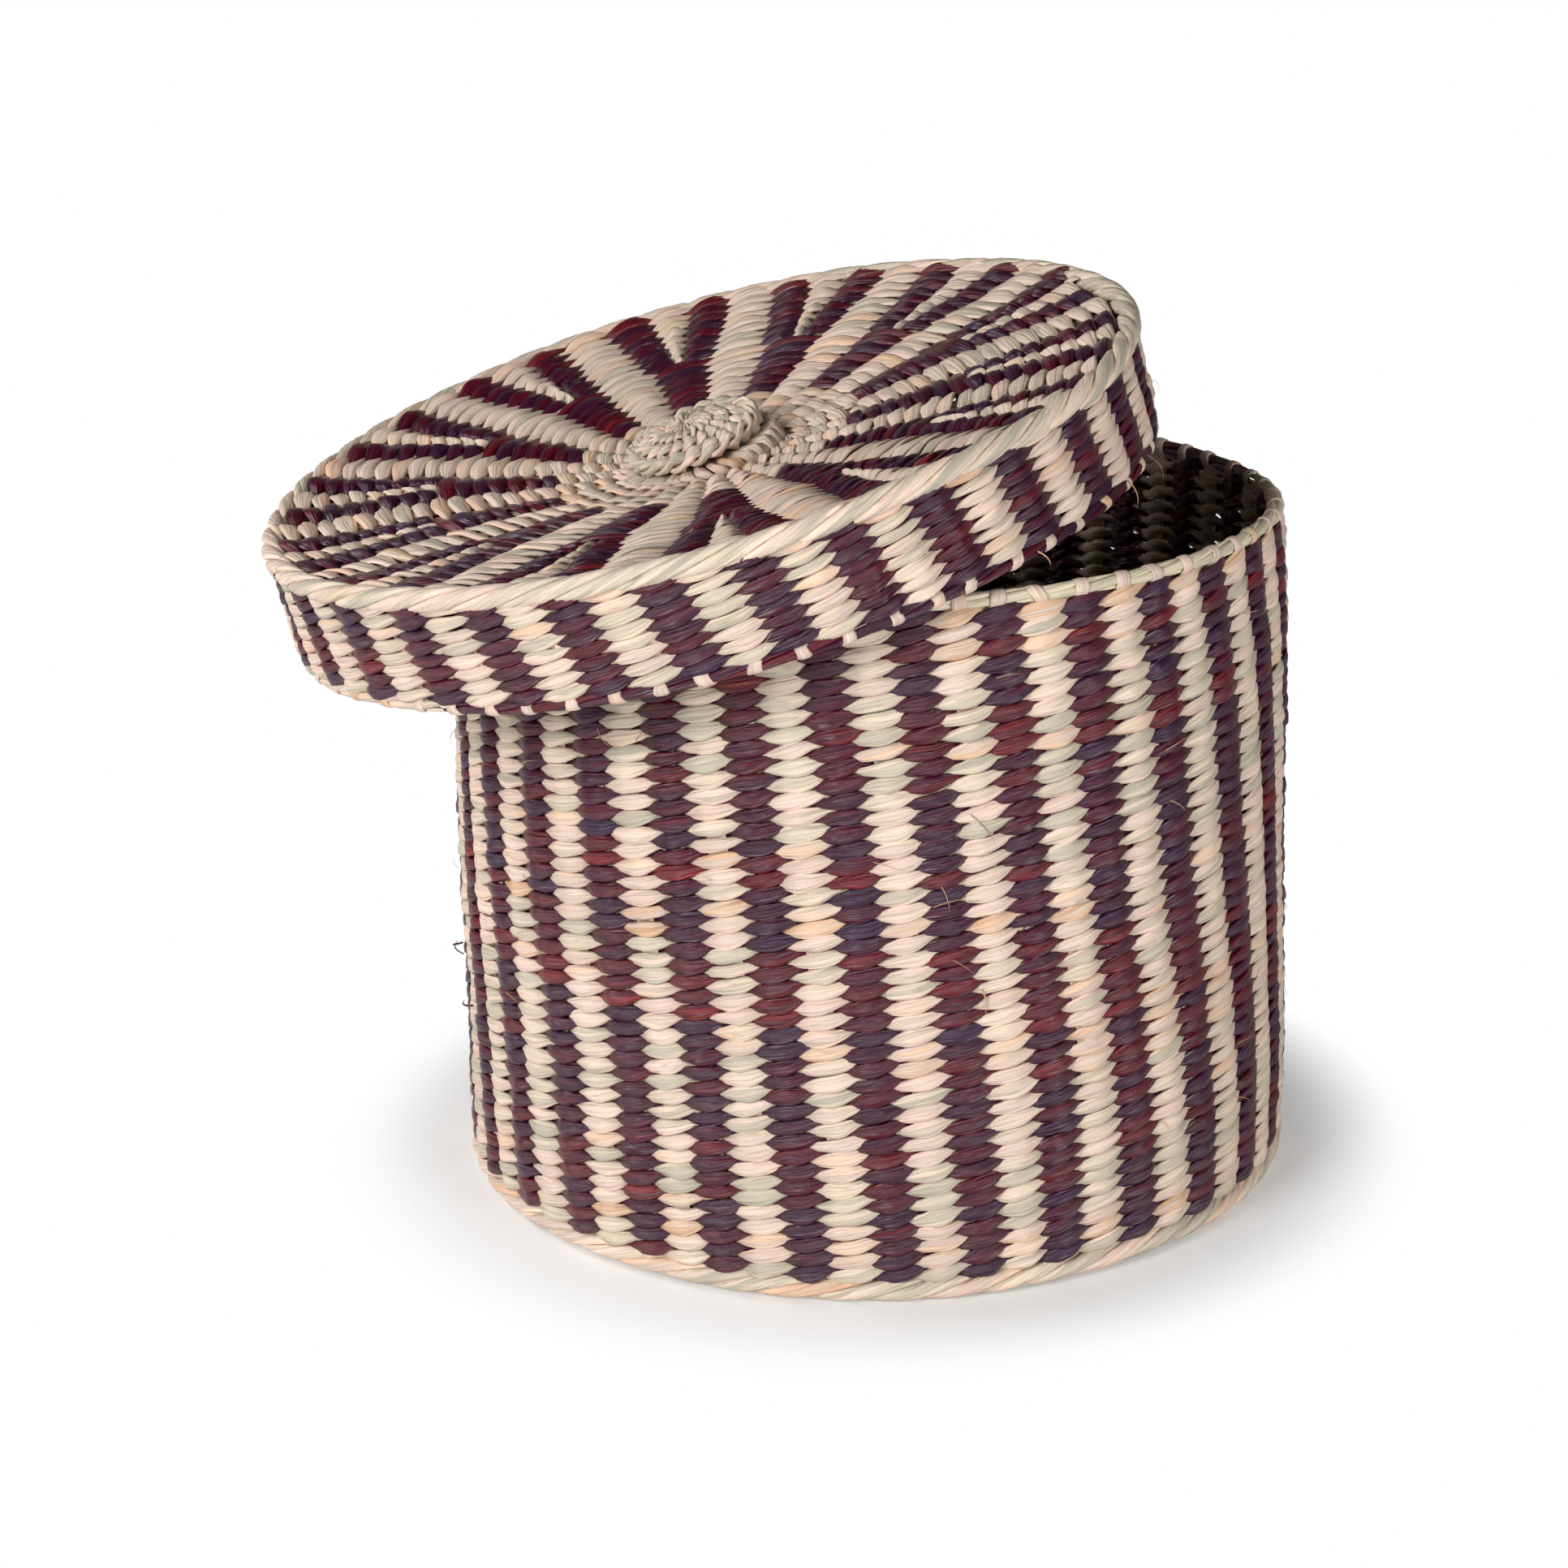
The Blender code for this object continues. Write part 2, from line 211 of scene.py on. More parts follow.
for name, power, size, spot in (
    ("key_lamp", KEY_POWER, KEY_SIZE, KEY_PLACE),
    ("fill_lamp", FILL_POWER, FILL_SIZE, FILL_PLACE),
    ("top_lamp", TOP_POWER, TOP_SIZE, TOP_PLACE),
):
    lamp = bpy.data.lights.new(name, "AREA")
    lamp.energy = power
    lamp.size = size
    holder = bpy.data.objects.new(name, lamp)
    bpy.context.scene.collection.objects.link(holder)
    holder.location = spot
    holder.rotation_euler = (Vector(LAMP_AIM) - Vector(spot)).to_track_quat("-Z", "Y").to_euler()

bpy.context.scene.view_settings.view_transform = "Standard"

# Base. A disc twined like everything here: two flat strands, one straw and one dyed, pass on
# either side of each stake and half round each other before the next. Its middle is all straw,
# round 28 stakes; further out more stakes are put in, and each dark stripe splits in two.
CENTRE_STAKES = 28
DISC_STAKES = 56
WALL_STAKES = 60
BASE_HEIGHT = 0.0028
FOOT_CORD = 0.0056
BASE_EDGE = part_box("base_weave")[1].x
ROSETTE_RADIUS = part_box("base_rosette")[1].x
SPLIT_RADIUS = 0.0640
PLEAT_RADIUS = 0.0190
CROWDING = 0.035

STRAW_HUES = (
    (0.00, (0.570, 0.530, 0.405)),
    (0.24, (0.660, 0.575, 0.445)),
    (0.42, (0.820, 0.650, 0.510)),
    (0.60, (0.840, 0.630, 0.540)),
    (0.76, (0.830, 0.635, 0.490)),
    (0.88, (0.820, 0.530, 0.350)),
    (1.00, (0.580, 0.350, 0.210)),
)
STRAW_LINE = (0.300, 0.190, 0.130)
SPLINT_HUES = (
    (0.00, (0.700, 0.560, 0.450)),
    (0.55, (0.820, 0.620, 0.520)),
    (0.80, (0.800, 0.540, 0.340)),
    (1.00, (0.640, 0.390, 0.210)),
)
DYED_HUES = (
    (0.00, (0.033, 0.010, 0.044)),
    (0.30, (0.046, 0.004, 0.026)),
    (0.58, (0.074, 0.002, 0.017)),
    (0.82, (0.128, 0.003, 0.013)),
    (1.00, (0.220, 0.008, 0.011)),
)
DYED_LINE = (0.012, 0.004, 0.008)
FACES_PER_LEAF = 7.0
WANDER_ALONG = 55.0
BLADE_ALONG, BLADE_ACROSS, BLADE_WANDER = 30.0, 1.35, 0.7
LINES_ALONG, LINES_ACROSS, LINES_WANDER = 34.0, 6.0, 1.5
FINE_ALONG, FINE_ACROSS, FINE_WANDER = 45.0, 19.0, 2.0
BLOTCH_ALONG, BLOTCH_ACROSS = 120.0, 1.2
CREASE_THINNESS, CREASE_FROM, CREASE_RISE, CREASE_AMOUNT = 20.0, 0.45, 6.0, 0.70
SPLIT_THINNESS, SPLIT_FROM, SPLIT_RISE, SPLIT_AMOUNT = 40.0, 0.55, 9.0, 0.60
MOST_MARKED = 0.8
ROUGHNESS_RANGE = 0.24
RELIEF_STRENGTH = 0.7
RELIEF_DEPTH = 0.0005
HUE_MIX = {"leaf": 0.62, "stitch": 0.22, "blade": 0.34, "blotch": 0.30, "shift": -0.24}
TONE_MIX = {"blade": 0.30, "lines": 0.40, "fine": 0.40, "blotch": 0.20, "least": 0.36}
RELIEF_MIX = {"edge": 2.6, "lines": 0.6, "fine": 0.5, "blade": 0.5, "blotch": 1.4}
BLADE_EDGE = 0.20


def bounded(value, low, high):
    """A wire kept between two numbers."""
    return value.math("MAXIMUM", low).math("MINIMUM", high)


def fibre(name, hues, line_colour, roughness, shine):
    """A strand of dried leaves, a few blades side by side: each leaf and blade has its own hue.

    Noise runs at so many turns a metre along the strand and a half width across it. The factors on
    the strand's and the stitch's number only give each its own patch of the noise.
    """
    material, nodes, inputs = shade(name)
    along = nodes.add("ShaderNodeAttribute", {"attribute_name": "along"}, output="Fac")
    across = nodes.add("ShaderNodeAttribute", {"attribute_name": "across"}, output="Fac")
    strand = nodes.add("ShaderNodeAttribute", {"attribute_name": "strand"}, output="Fac")
    face = nodes.add("ShaderNodeAttribute", {"attribute_name": "face"}, output="Fac")

    def spot(x, y, z):
        return nodes.add("ShaderNodeCombineXYZ", values={0: x, 1: y, 2: z})

    def noise(x, y, z, detail):
        values = {"Vector": spot(x, y, z), "Scale": 1.0, "Detail": detail}
        return nodes.add("ShaderNodeTexNoise", values=values)

    def blend(share, first, second, kind="MIX"):
        values = {0: share, 6: first, 7: second}
        return nodes.add("ShaderNodeMix", {"data_type": "RGBA", "blend_type": kind}, values, 2)

    def pick(number):
        return nodes.add("ShaderNodeTexWhiteNoise", {"noise_dimensions": "1D"}, {"W": number})

    stitch = face.math("FLOOR")
    leaf = ((stitch + (strand * 3.0).math("FLOOR")) / FACES_PER_LEAF).math("FLOOR")
    wander = noise(along * WANDER_ALONG, strand * 3.1, stitch * 1.3, detail=0.0)
    swayed = across * BLADE_ACROSS + wander * BLADE_WANDER
    cells = {"Vector": spot(along * BLADE_ALONG, swayed, stitch * 2.3 + strand), "Scale": 1.0}
    blade = nodes.add("ShaderNodeTexVoronoi", values=cells, output="Color")
    edge = nodes.add("ShaderNodeTexVoronoi", {"feature": "DISTANCE_TO_EDGE"}, cells)
    swayed = across * LINES_ACROSS + wander * LINES_WANDER
    lines = noise(along * LINES_ALONG, swayed, strand * 7.7 + stitch * 1.9, detail=3.0)
    blotch = noise(along * BLOTCH_ALONG, across * BLOTCH_ACROSS, strand * 2.9 + stitch, detail=1.0)
    share = pick(leaf * 1.7 + strand * 5.3) * HUE_MIX["leaf"]
    share = share + pick(stitch * 1.3 + strand * 3.7) * HUE_MIX["stitch"]
    share = share + blade * HUE_MIX["blade"] + blotch * HUE_MIX["blotch"] + HUE_MIX["shift"]
    hue = nodes.add("ShaderNodeValToRGB", {"stops": hues}, {"Fac": share})
    swayed = across * FINE_ACROSS + wander * FINE_WANDER
    fine = noise(along * FINE_ALONG, swayed, strand * 3.3 + stitch * 2.1, detail=2.0)
    tone = blade * TONE_MIX["blade"] + lines * TONE_MIX["lines"] + fine * TONE_MIX["fine"]
    tone = tone + blotch * TONE_MIX["blotch"] + TONE_MIX["least"]
    toned = blend(1.0, hue, tone, "MULTIPLY")
    crease = (edge * -CREASE_THINNESS + 1.0).math("MAXIMUM", 0.0)
    crease = crease * bounded((fine - CREASE_FROM) * CREASE_RISE, 0.0, 1.0)
    split = ((lines - 0.5).math("ABSOLUTE") * -SPLIT_THINNESS + 1.0).math("MAXIMUM", 0.0)
    split = split * bounded((blotch - SPLIT_FROM) * SPLIT_RISE, 0.0, 1.0)
    marked = (crease * CREASE_AMOUNT + split * SPLIT_AMOUNT).math("MINIMUM", MOST_MARKED)
    blend(marked, toned, (*line_colour, 1.0)).into(inputs["Base Color"])
    height = edge.math("MINIMUM", BLADE_EDGE) * RELIEF_MIX["edge"] + lines * RELIEF_MIX["lines"]
    height = height + fine * RELIEF_MIX["fine"] + blade * RELIEF_MIX["blade"]
    height = height + blotch * RELIEF_MIX["blotch"]
    relief = {"Strength": RELIEF_STRENGTH, "Distance": RELIEF_DEPTH, "Height": height}
    nodes.add("ShaderNodeBump", values=relief).into(inputs["Normal"])
    even = roughness - ROUGHNESS_RANGE / 2.0
    (lines * ROUGHNESS_RANGE + even).into(inputs["Roughness"])
    inputs["Specular IOR Level"].default_value = shine
    return material


straw = fibre("straw_strand", STRAW_HUES, STRAW_LINE, roughness=0.48, shine=0.40)
splint = fibre("pale_splint", SPLINT_HUES, STRAW_LINE, roughness=0.55, shine=0.40)
dyed = fibre("aubergine_strand", DYED_HUES, DYED_LINE, roughness=0.24, shine=0.70)
MATERIALS = {"natural_strand": straw, "dyed_strand": dyed, "stake": splint}


def round_the_basket(value, turn, share):
    """Azimuth of a stitch or a stake, crowded a little in front and behind and where stripes split."""
    even = turn + value["Turned"] + value["Lean"] * share
    gathered = value["Gather"] * share * (turn * SPLITS).math("SINE")
    return even + value["Crowding"] * (even * 2.0).math("SINE") - gathered


def finished_strands(nodes, shape, place, attributes, material):
    """Put a tube's points in place, note where each lies on its strand, and dress it."""
    drift = nodes.add(
        "ShaderNodeTexNoise",
        values={"Vector": place, "Scale": DRIFT_SCALE, "Detail": 0.0},
        output="Color",
    )
    centred = nodes.add("ShaderNodeVectorMath", {"operation": "SUBTRACT"}, {0: drift, 1: (0.5,) * 3})
    moved = nodes.add(
        "ShaderNodeVectorMath",
        {"operation": "MULTIPLY_ADD"},
        {0: centred, 1: HAND_DRIFT, 2: place},
    )
    shape = nodes.add("GeometryNodeSetPosition", values={"Geometry": shape, "Position": moved})
    for label, field in attributes.items():
        shape = nodes.add(
            "GeometryNodeStoreNamedAttribute",
            {"data_type": "FLOAT", "domain": "POINT"},
            {"Geometry": shape, "Name": label, "Value": field},
        )
    shape = nodes.add("GeometryNodeSetShadeSmooth", values={"Geometry": shape})
    shape = nodes.add("GeometryNodeRealizeInstances", values={"Geometry": shape})
    shape = nodes.add("GeometryNodeSetMaterial", values={"Geometry": shape, "Material": material})
    nodes.add("NodeGroupOutput", values={"Strands": shape})


def new_tree(name, sockets):
    """An empty tree with named inputs, and the wires that carry them."""
    tree = bpy.data.node_groups.new(name, "GeometryNodeTree")
    for label, kind in sockets.items():
        tree.interface.new_socket(name=label, in_out="INPUT", socket_type="NodeSocket" + kind)
    tree.interface.new_socket(name="Strands", in_out="OUTPUT", socket_type="NodeSocketGeometry")
    nodes = Wire(tree)
    given = nodes.add("NodeGroupInput")
    return tree, nodes, {label: given.other(label) for label in sockets}


def copies(nodes, count, tube):
    """Several copies of a tube, one after another in the order of their points."""
    row = nodes.add("GeometryNodeMeshLine", values={"Count": count})
    row = nodes.add("GeometryNodeInstanceOnPoints", values={"Points": row, "Instance": tube})
    return nodes.add("GeometryNodeRealizeInstances", values={"Geometry": row})


def profile_point(nodes, profile, share):
    """Radius, height and heading at a share of the way along the profile line."""
    line = nodes.add("GeometryNodeMeshToCurve", values={"Mesh": profile})
    sample = nodes.add(
        "GeometryNodeSampleCurve",
        {"mode": "FACTOR", "use_all_curves": True},
        {"Curves": line, "Factor": share},
        "Position",
    )
    spot = nodes.add("ShaderNodeSeparateXYZ", values={0: sample})
    heading = nodes.add("ShaderNodeSeparateXYZ", values={0: sample.other("Tangent")})
    return spot, spot.other("Z"), heading, heading.other("Z")


def twining_tree():
    """Strands of a twined row or of a cord, wound in a spiral along the object's profile line."""
    tree, nodes, value = new_tree("twined_strands", {
        "Profile": "Geometry", "Strands": "Int", "Spread": "Float", "Stakes": "Int",
        "Rows": "Float", "First": "Float", "Stitches": "Float", "Steps": "Int", "Sides": "Int",
        "Phase": "Float", "Turned": "Float", "Lean": "Float", "Crowding": "Float",
        "Gather": "Float", "Depth": "Float", "Rise": "Float", "Thickness": "Float",
        "Face width": "Float", "Edge width": "Float", "Roll": "Float", "Shingle": "Float",
        "Winding": "Float", "Unevenness": "Float", "Level rows": "Float",
        "Stitch length": "Float", "Seed": "Float", "Material": "Material",
    })
    segments = (value["Stitches"] * value["Steps"] + 0.5).math("FLOOR")
    tube = nodes.add(
        "GeometryNodeMeshCylinder",
        {"fill_type": "NGON"},
        {"Vertices": value["Sides"], "Side Segments": segments},
    )
    shape = copies(nodes, value["Strands"], tube)
    index = nodes.add("GeometryNodeInputIndex")
    points = (segments + 1.0) * value["Sides"]
    number = (index / points).math("FLOOR")
    local = index - number * points
    ring = (local / value["Sides"]).math("FLOOR")
    corner = (local - ring * value["Sides"]) / value["Sides"] * (2.0 * math.pi)
    travelled = ring / value["Steps"]
    stitch = value["First"] + travelled
    share = stitch / (value["Stakes"] * value["Rows"])
    azimuth = round_the_basket(value, stitch / value["Stakes"] * (2.0 * math.pi), share)

    seed = value["Seed"] + number * SEED_STEP
    wobble = [
        nodes.add(
            "ShaderNodeTexNoise",
            {"noise_dimensions": "1D"},
            {"W": stitch * pace + seed + offset, "Scale": 1.0, "Detail": 1.0},
        )
        * 2.0
        - 1.0
        for pace, offset in WOBBLE_PACES
    ]
    uneven = value["Unevenness"]
    turns = stitch + value["Phase"] + value["Spread"] * number
    twist = (turns + uneven * wobble[3] * EARLY_OR_LATE) * math.pi
    # A strand faces out over one stake and in over the next. It is widest at both, narrow where it
    # dives, and climbs less outside than inside, so that a stitch is a slanting, pointed leaf.
    facing = twist.math("COSINE")
    wave = twist.math("SINE")
    climbing = wave - wave * facing * (1.0 - value["Winding"]) * 0.5
    reach = facing + SHOWN
    opened = (reach * FULL_IN_FRONT).math("MAXIMUM", reach * -FULL_BEHIND).math("POWER", FULLNESS)
    tip = travelled.math("MINIMUM", value["Stitches"] - travelled)
    closed = (tip * END_TAPER + END_WIDTH).math("MINIMUM", 1.0)
    gathered = (1.0 - opened) * (1.0 - value["Winding"]) * GATHERED + 1.0
    half_thick = value["Thickness"] * 0.5 * closed * gathered * (uneven * wobble[0] + 1.0)
    width = value["Edge width"] + (value["Face width"] - value["Edge width"]) * opened
    half_wide = width * 0.5 * closed * (uneven * wobble[1] * WIDTH_SPREAD + WIDTH_GAIN)
    turned = value["Roll"] * climbing + value["Winding"] * twist
    turned = turned + uneven * wobble[2] * ROLL_SPREAD + value["Shingle"]
    thin = corner.math("COSINE") * half_thick
    wide = corner.math("SINE") * half_wide
    outward = (
        value["Depth"] * facing * (uneven * wobble[3] + 1.0)
        + thin * turned.math("COSINE")
        - wide * turned.math("SINE")
    )
    upward = (
        value["Rise"] * (climbing + uneven * wobble[4] * RISE_SPREAD)
        + thin * turned.math("SINE")
        + wide * turned.math("COSINE")
    )
    climbed = (share * value["Rows"] / (value["Rows"] - value["Level rows"])).math("MINIMUM", 1.0)
    radius, height, heading_out, heading_up = profile_point(nodes, value["Profile"], climbed)
    radius = radius + outward * heading_up + upward * heading_out
    height = height - outward * heading_out + upward * heading_up
    place = nodes.add(
        "ShaderNodeCombineXYZ",
        values={0: radius * azimuth.math("COSINE"), 1: radius * azimuth.math("SINE"), 2: height},
    )
    attributes = {
        "along": stitch * value["Stitch length"],
        "across": corner.math("SINE"),
        "strand": seed,
        "face": (turns + 1.0) / 2.0,
    }
    finished_strands(nodes, shape, place, attributes, value["Material"])
    return tree


def grown(name, tree, profile, settings):
    """The mesh that a tree makes from a profile line of (radius, height) points."""
    mesh = bpy.data.meshes.new(name)
    points = [(radius, 0.0, height) for radius, height in profile]
    mesh.from_pydata(points, [(i, i + 1) for i in range(len(points) - 1)], [])
    guide = bpy.data.objects.new(name + "_line", mesh)
    bpy.context.scene.collection.objects.link(guide)
    modifier = guide.modifiers.new("Grow", "NODES")
    modifier.node_group = tree
    for item in tree.interface.items_tree:
        if item.in_out == "INPUT" and item.name in settings:
            modifier[item.identifier] = settings[item.name]
    shape = guide.evaluated_get(bpy.context.evaluated_depsgraph_get())
    made = bpy.data.meshes.new_from_object(shape)
    bpy.data.objects.remove(guide, do_unlink=True)
    bpy.data.meshes.remove(mesh)
    made.name = name
    return made


def fitted(name, mesh, body, slot, *replaced):
    """A finished piece: an object at the origin that rides on its body and stands for its nodes."""
    if body == "lid":
        mesh.transform(lid_seat)
    piece = bpy.data.objects.new(name, mesh)
    bpy.context.scene.collection.objects.link(piece)
    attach(piece, body)
    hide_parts(*replaced)
    return piece


def twined(name, body, profile, stakes, rows, colours, *replaced, **changes):
    """A band of twined rows: a piece for each strand of the pair, or two where there are many rows."""
    settings = {**TWINING, "Stakes": stakes, "Rows": float(rows), **changes}
    half = rows // 2 if rows > MOST_ROWS else rows
    for side, (label, slot) in enumerate(colours):
        for first, last in ((0, half), (half, rows)):
            if first == last:
                continue
            settings.update({
                "First": float(stakes * first),
                "Stitches": float(stakes * (last - first)),
                "Phase": float(side),
                "Seed": float(SEEDS[body] + 40 * side),
                "Material": MATERIALS[slot],
            })
            title = f"{name}_{label}" + ("_upper" if first else "")
            fitted(title, grown(title, twining, profile, settings), body, slot, *replaced)


HAND_DRIFT = (0.0032, 0.0032, 0.0016)
DRIFT_SCALE = 17.0
SHOWN = 0.42
FULL_IN_FRONT = 0.70
FULL_BEHIND = 1.6
FULLNESS = 0.6
GATHERED = 0.45
EARLY_OR_LATE = 0.25
WIDTH_SPREAD = 0.8
WIDTH_GAIN = 1.03
ROLL_SPREAD = 0.7
RISE_SPREAD = 0.8
END_TAPER = 3.0
END_WIDTH = 0.02
SEED_STEP = 7.3
MOST_ROWS = 20
WOBBLE_PACES = ((0.73, 0.0), (0.91, 31.0), (0.67, 57.0), (0.83, 83.0), (0.59, 97.0))
SPLITS = CENTRE_STAKES / 2.0
SEEDS = {"basket": 11, "lid": 211}
STRIPES = (("straw", "natural_strand"), ("dyed", "dyed_strand"))
PLAIN = (("first", "natural_strand"), ("second", "natural_strand"))
TWINING = {
    "Strands": 1, "Spread": 0.0, "Steps": 10, "Sides": 7, "Turned": 0.0, "Lean": 0.0,
    "Crowding": CROWDING, "Gather": 0.0, "Depth": 0.00125, "Rise": 0.00098, "Thickness": 0.00125,
    "Face width": 0.0040, "Edge width": 0.0011, "Roll": 0.3, "Shingle": 0.10, "Winding": 0.0,
    "Unevenness": 0.50, "Level rows": 0.0, "Stitch length": 0.0105,
}
twining = twining_tree()

STRIPE_TURNED = math.radians(19.0)
INNER_TURNED = STRIPE_TURNED - 2.0 * math.pi / CENTRE_STAKES
GATHER = math.radians(3.3)
ROSETTE_HOLE = PLEAT_RADIUS * 0.45
BASE_OUTER_ROWS = 7
BASE_INNER_ROWS = 7
BASE_ROSETTE_ROWS = 7
UNDER_FOOT_CORD = 0.0012
DISC = {"Face width": 0.0047, "Edge width": 0.0014, "Rise": 0.0012, "Crowding": 0.0}
BASE_DISC = {**DISC, "Depth": 0.00120}

flat = [(BASE_EDGE + UNDER_FOOT_CORD, BASE_HEIGHT), (SPLIT_RADIUS, BASE_HEIGHT)]
twined(
    "base_outer", "basket", flat, DISC_STAKES, BASE_OUTER_ROWS, STRIPES, "base_weave", **BASE_DISC,
    Turned=STRIPE_TURNED, Gather=GATHER, Steps=6,
)
flat = [(SPLIT_RADIUS, BASE_HEIGHT), (ROSETTE_RADIUS, BASE_HEIGHT)]
twined(
    "base_inner", "basket", flat, CENTRE_STAKES, BASE_INNER_ROWS, STRIPES, "base_weave", **BASE_DISC,
    Turned=INNER_TURNED, Steps=7,
)
flat = [(ROSETTE_RADIUS, BASE_HEIGHT), (ROSETTE_HOLE, BASE_HEIGHT)]
twined(
    "base_rosette", "basket", flat, CENTRE_STAKES, BASE_ROSETTE_ROWS, PLAIN, "base_rosette",
    **BASE_DISC, Turned=INNER_TURNED, Steps=6,
)

# Foot cord. A thick three-strand twist of straw laid round the bottom edge, where the stakes
# turn up into the wall. The basket stands on it.
FOOT_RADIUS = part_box("foot_cord")[1].x
FOOT_LIFT = 0.0004
CORD_TWISTS = 34
STRANDS_ACROSS = 2.15
SQUASH = 1.35
LEVEL = 0.0001


def corded(name, body, ring, thickness, half_twists, slot, *replaced, strands=3, **changes):
    """A twisted cord laid in a ring of a radius at a height, or in part of one."""
    radius, height = ring
    strand = thickness / STRANDS_ACROSS
    reach = (thickness - strand) / 2.0
    settings = {
        **TWINING, "Strands": strands, "Spread": 2.0 / strands, "Stakes": half_twists,
        "Rows": 1.0, "First": half_twists / 4.0, "Stitches": half_twists + 0.5, "Steps": 8,
        "Sides": 10, "Phase": 0.0, "Crowding": 0.0, "Depth": reach, "Rise": reach,
        "Thickness": strand, "Face width": strand * SQUASH, "Edge width": strand * SQUASH,
        "Roll": 0.0, "Winding": 1.0, "Unevenness": 0.07, "Seed": SEEDS[body] + 90.0,
        "Stitch length": 2.0 * math.pi * radius / half_twists, "Material": MATERIALS[slot],
    }
    settings.update(changes)
    line = [(radius, height - LEVEL), (radius, height + LEVEL)]
    return fitted(name, grown(name, twining, line, settings), body, slot, *replaced)


foot_ring = (FOOT_RADIUS - FOOT_CORD / 2.0, FOOT_CORD / 2.0 + FOOT_LIFT)
corded(
    "foot_cord_twist", "basket", foot_ring, FOOT_CORD, CORD_TWISTS, "natural_strand", "foot_cord",
)

# Wall. Forty-three rows climb it in one spiral that ends level under the mouth cord. With an even
# number of stakes each colour comes out over the same ones every time, so the stripes stand
# upright; they lean because each row drags the stakes a little further round.
WALL_ROWS = 43
WALL_THICKNESS = 0.0048
WALL_BULGE = 0.0018
WALL_LEAN = math.radians(-9.5)
WALL_TURNED = math.radians(87.2)
PROFILE_POINTS = 13
MOUTH_CORD = 0.0034
MOUTH_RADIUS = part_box("mouth_cord")[1].x + (WALL_THICKNESS - MOUTH_CORD) / 2.0
BODY_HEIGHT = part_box("mouth_cord")[1].z
UNDER_CORD = 0.0014
WALL_TOP = BODY_HEIGHT - MOUTH_CORD - UNDER_CORD
LAST_LEVEL = 0.5


def wall_middle(height):
    """Radius of the middle of the wall's thickness at a height."""
    share = height / BODY_HEIGHT
    bulge = WALL_BULGE * 4.0 * share * (1.0 - share)
    return FOOT_RADIUS + (MOUTH_RADIUS - FOOT_RADIUS) * share + bulge - WALL_THICKNESS / 2.0


wall_line = [
    (wall_middle(height), height)
    for height in np.linspace(FOOT_CORD, WALL_TOP, PROFILE_POINTS).tolist()
]
twined(
    "wall", "basket", wall_line, WALL_STAKES, WALL_ROWS, STRIPES, "wall_weave",
    Lean=WALL_LEAN, Turned=WALL_TURNED, **{"Level rows": LAST_LEVEL},
)

# Body stakes. Flat pale splints that start under the middle of the base, turn up at the foot and
# run inside the wall's rows. They show as slivers between the strands.
STAKE_WIDTH = 0.0050
STAKE_THICKNESS = 0.0009
STAKE_PACES = ((9.0, 0.0), (1.1, 31.0), (2.0, 57.0))
CLOSEST = 0.94
THICK_SPREAD = 0.5
STAKE_SEED_STEP = 3.7
LEAF_SHIFT = 0.23
WALL_RINGS = 44
FOOT_RINGS = 20
BASE_RINGS = 30


def stake_tree():
    """Flat splints that follow the profile line, spread evenly round the object."""
    tree, nodes, value = new_tree("stakes", {
        "Profile": "Geometry", "Stakes": "Int", "Rings": "Int", "Sides": "Int",
        "Turned": "Float", "Lean": "Float", "Crowding": "Float", "Gather": "Float",
        "Width": "Float", "Thickness": "Float", "Unevenness": "Float",
        "Stitch length": "Float", "Seed": "Float", "Material": "Material",
    })
    tube = nodes.add(
        "GeometryNodeMeshCylinder",
        {"fill_type": "NGON"},
        {"Vertices": value["Sides"], "Side Segments": value["Rings"] - 1.0},
    )
    shape = copies(nodes, value["Stakes"], tube)
    index = nodes.add("GeometryNodeInputIndex")
    points = value["Rings"] * value["Sides"]
    number = (index / points).math("FLOOR")
    local = index - number * points
    ring = (local / value["Sides"]).math("FLOOR")
    corner = (local - ring * value["Sides"]) / value["Sides"] * (2.0 * math.pi)
    travelled = ring / (value["Rings"] - 1.0)
    wobble = [
        nodes.add(
            "ShaderNodeTexNoise",
            {"noise_dimensions": "2D"},
            {
                "Vector": nodes.add(
                    "ShaderNodeCombineXYZ",
                    values={
                        0: number * STAKE_SEED_STEP + value["Seed"] + offset,
                        1: travelled * pace,
                    },
                ),
                "Scale": 1.0,
                "Detail": 1.0,
            },
        )
        * 2.0
        - 1.0
        for pace, offset in STAKE_PACES
    ]
    uneven = value["Unevenness"]
    turn = (number + uneven * wobble[1]) / value["Stakes"] * (2.0 * math.pi)
    azimuth = round_the_basket(value, turn, travelled)
    radius, height, heading_out, heading_up = profile_point(nodes, value["Profile"], travelled)
    room = radius / value["Stakes"] * (math.pi * CLOSEST)
    half_wide = (value["Width"] * 0.5 * (uneven * wobble[0] + 1.0)).math("MINIMUM", room)
    half_thick = value["Thickness"] * 0.5 * (uneven * wobble[2] * THICK_SPREAD + 1.0)
    thin = corner.math("COSINE") * half_thick
    wide = corner.math("SINE") * half_wide * -1.0
    radius = radius + thin * heading_up
    height = height - thin * heading_out
    place = nodes.add(
        "ShaderNodeCombineXYZ",
        values={
            0: radius * azimuth.math("COSINE") - wide * azimuth.math("SINE"),
            1: radius * azimuth.math("SINE") + wide * azimuth.math("COSINE"),
            2: height,
        },
    )
    attributes = {
        "along": travelled * value["Stitch length"] + number * LEAF_SHIFT,
        "across": corner.math("SINE"),
        "strand": value["Seed"] + number,
        "face": number + 0.5,
    }
    finished_strands(nodes, shape, place, attributes, value["Material"])
    return tree


